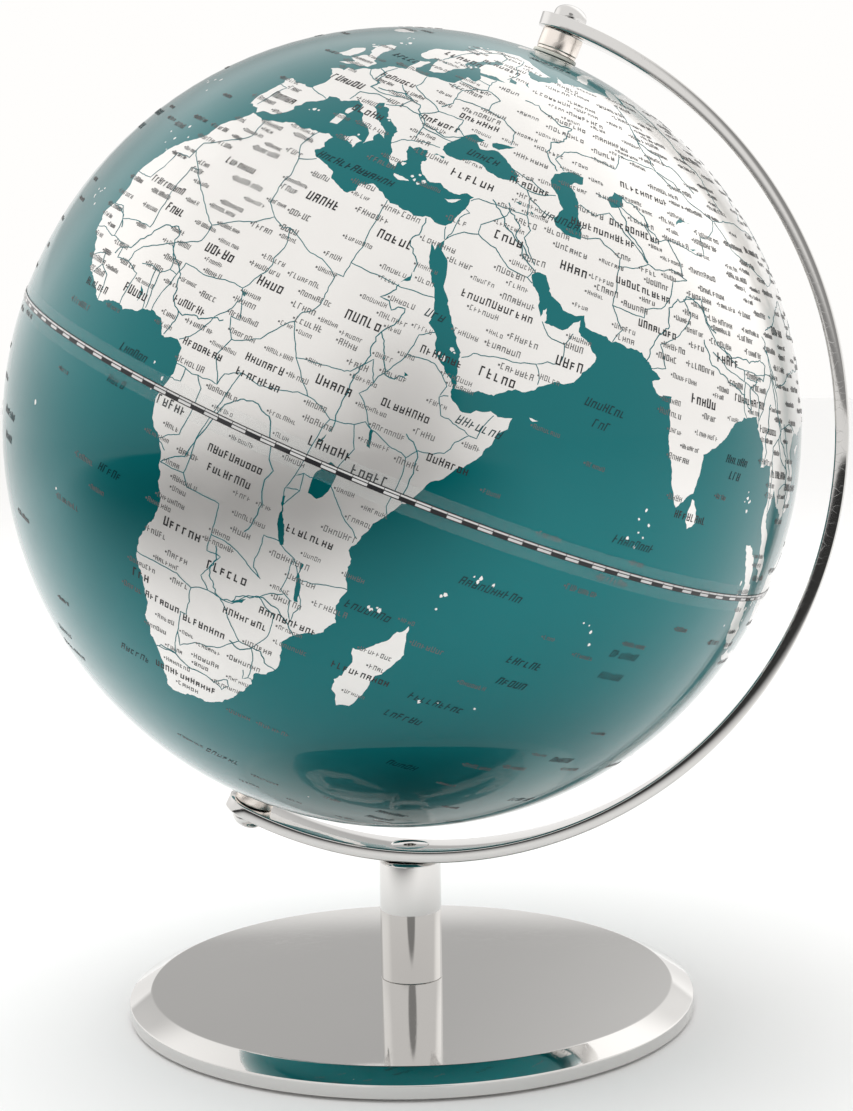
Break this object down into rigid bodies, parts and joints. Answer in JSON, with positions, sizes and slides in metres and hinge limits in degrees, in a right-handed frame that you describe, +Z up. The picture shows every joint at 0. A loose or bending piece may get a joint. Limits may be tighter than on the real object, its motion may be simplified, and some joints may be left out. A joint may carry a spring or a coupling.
{
  "type": "desktop globe",
  "caption": "Desktop globe: a printed hollow ball that spins on a tilted axis in a half-circle arm, on a short stem and a round bevelled base.",
  "frame": {"origin": "centre of the base's underside, on the desk", "axes": "+Z is up; the arm lies in the XZ plane, and the ball's axis leans from upright towards +X"},
  "size_m": [0.2642, 0.2512, 0.3163],
  "materials": {
    "chrome": "mirror-polished chrome plate",
    "nickel": "satin nickel plate",
    "steel": "bright zinc plate",
    "map_print": "metallic print under clear gloss lacquer",
    "seam_tape": "clear printed film",
    "nylon": "natural moulded",
    "pad_foam": "fine-celled foam"
  },
  "bodies": {
    "stand": {"base_pad": "pad_foam", "base_disc": "chrome", "stem_bolt_washer": "steel", "stem_bolt": "steel", "stem": "chrome", "arm_screw": "chrome", "arm": "chrome", "north_thrust_washer": "steel", "north_spacer": "nickel", "north_axle": "steel", "north_cap_nut": "chrome", "south_thrust_washer": "steel", "south_spacer": "nickel", "south_axle": "steel", "south_cap_nut": "chrome"},
    "ball": {"north_shell": "map_print", "south_shell": "map_print", "seam_ring": "nylon", "equator_tape": "seam_tape", "north_pole_bush": "nylon", "south_pole_bush": "nylon"}
  },
  "joints": [
    {"name": "globe_spin", "type": "hinge", "parent": "stand", "child": "ball", "pos_m": [0, 0, 0.18566], "axis": [0.3987, 0, 0.9171], "continuous": true}
  ]
}
